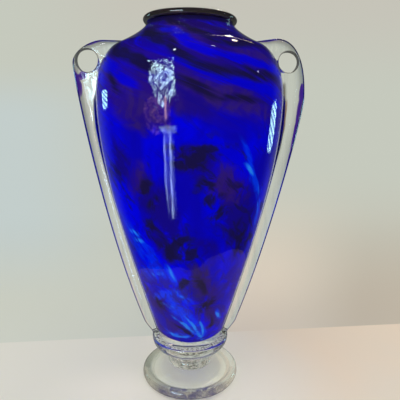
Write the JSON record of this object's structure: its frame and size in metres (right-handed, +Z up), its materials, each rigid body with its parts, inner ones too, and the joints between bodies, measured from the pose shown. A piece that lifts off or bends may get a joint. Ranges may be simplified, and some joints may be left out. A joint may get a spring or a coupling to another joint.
{
  "type": "glass vase",
  "caption": "Amphora-shaped blown glass vase with a dark lip wrap, clear drawn side handles with round eyes, a collar, a stem and a round foot.",
  "frame": {"origin": "middle of the foot's underside, on the surface that the vase stands on", "axes": "+Z up along the body's axis, +X through the right handle, -Y towards the front"},
  "size_m": [0.2555, 0.204, 0.4212],
  "materials": {
    "clear_glass": "fire-polished clear glass with a faint green tint",
    "casing_glass": "fire-polished clear casing",
    "cobalt_glass": "cobalt glass with dark and pale trails",
    "dark_glass": "near-black fire-polished glass"
  },
  "bodies": {
    "root": {"foot": "clear_glass", "stem": "clear_glass", "collar": "clear_glass", "clear_casing": "casing_glass", "colour_body": "cobalt_glass", "lip_wrap": "dark_glass", "left_handle": "clear_glass", "right_handle": "clear_glass"}
  },
  "joints": []
}
